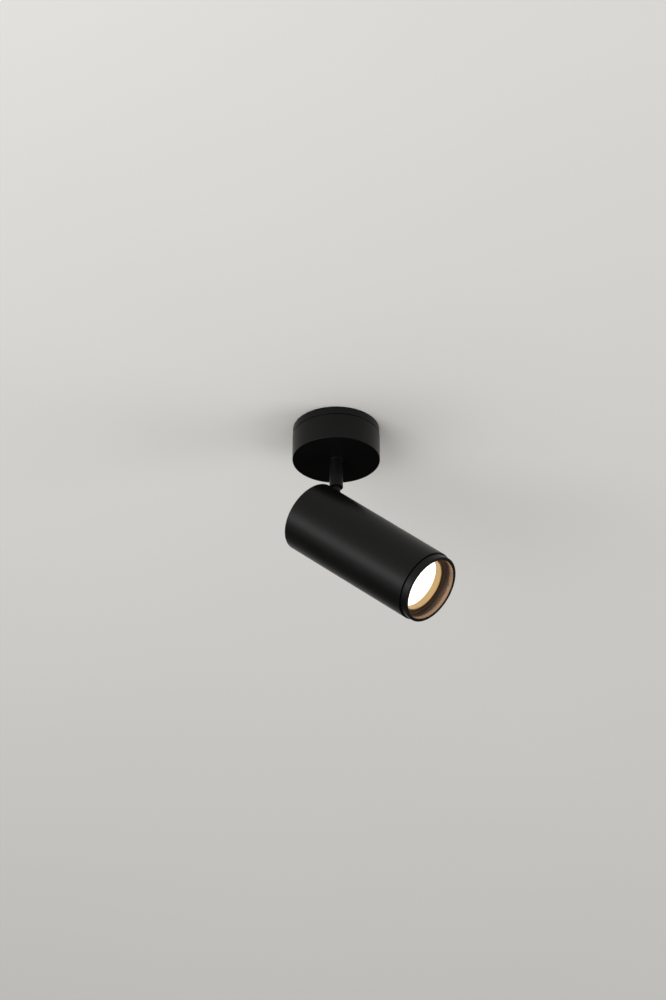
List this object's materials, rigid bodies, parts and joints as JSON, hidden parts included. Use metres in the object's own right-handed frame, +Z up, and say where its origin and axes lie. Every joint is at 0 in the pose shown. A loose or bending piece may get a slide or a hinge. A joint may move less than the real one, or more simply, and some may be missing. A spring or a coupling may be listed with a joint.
{
  "type": "ceiling spot light",
  "caption": "Ceiling or wall spot: a round canopy with a short stem carries a long black tube head that pans and tilts, with a gold ring round a recessed reflector lamp.",
  "frame": {"origin": "centre of the base plate's face that lies on the ceiling", "axes": "+Z up into the ceiling along the pan axis, +X the way the head points at rest, +Y the tilt axis"},
  "size_m": [0.1423, 0.0726, 0.1918],
  "materials": {
    "black_paint": "satin black powder coat",
    "gold_ring": "satin gold",
    "black_screws": "black oxide",
    "zinc_steel": "bright zinc plate",
    "brass": "bare brass",
    "cast_alloy": "as cast",
    "black_nylon": "matt moulded nylon",
    "white_plastic": "matt moulded plastic",
    "holder_ceramic": "unglazed steatite",
    "black_rubber": "matt rubber",
    "cable_jacket": "matt cable jacket",
    "brown_wire": "matt wire jacket",
    "blue_wire": "matt wire jacket",
    "green_wire": "matt wire jacket with a yellow stripe",
    "lamp_shell": "satin",
    "lamp_opal": "opal diffuser, lit",
    "led_board": "white solder mask"
  },
  "bodies": {
    "base": {"base_plate": "black_paint", "canopy_cover": "black_paint", "cable_grommet": "black_rubber", "cover_grub_screws": "black_screws", "stop_pin": "zinc_steel", "terminal_block": "white_plastic", "terminal_screws": "brass", "terminal_fixing_screws": "zinc_steel", "earth_screw": "brass", "earth_washer": "brass", "stem_bush": "black_nylon", "friction_washer": "black_nylon", "stem_lead": "cable_jacket", "wire_live": "brown_wire", "wire_neutral": "blue_wire", "wire_earth": "green_wire"},
    "stem": {"stem_sleeve": "black_paint", "stem_nipple": "zinc_steel", "stem_nut": "zinc_steel", "spring_washer": "zinc_steel", "stop_washer": "zinc_steel", "pivot_arm": "black_paint", "stem_cable": "cable_jacket", "pivot_screw": "zinc_steel", "pivot_washers": "black_nylon", "pivot_spring_washer": "zinc_steel"},
    "head": {"head_tube": "black_paint", "rear_cap": "black_paint", "cap_screws": "black_screws", "chassis": "cast_alloy", "pivot_bush": "brass", "holder_standoffs": "zinc_steel", "holder_screws": "zinc_steel", "lamp_holder": "holder_ceramic", "lamp_contacts": "brass", "lamp_cable": "cable_jacket"},
    "lamp": {"lamp_base": "white_plastic", "lamp_pins": "brass", "lamp_reflector": "lamp_shell", "lamp_board": "led_board", "lamp_lens": "lamp_opal"},
    "bezel": {"front_bezel": "black_paint", "lamp_ring": "gold_ring", "bezel_o_ring": "black_rubber"}
  },
  "joints": [
    {"name": "pan", "type": "hinge", "parent": "base", "child": "stem", "pos_m": [0, 0, 0], "axis": [0, 0, 1], "range_deg": [-165, 165]},
    {"name": "tilt", "type": "hinge", "parent": "stem", "child": "head", "pos_m": [0, 0, -0.09943], "axis": [0, 1, 0], "range_deg": [-41, 49]},
    {"name": "lamp_twist", "type": "hinge", "parent": "head", "child": "lamp", "pos_m": [0, 0, -0.09943], "axis": [0.7547, 0, -0.6561], "range_deg": [0, 22]},
    {"name": "bezel_pull", "type": "slide", "parent": "head", "child": "bezel", "axis": [0.7547, 0, -0.6561], "range_m": [0, 0.025]}
  ]
}
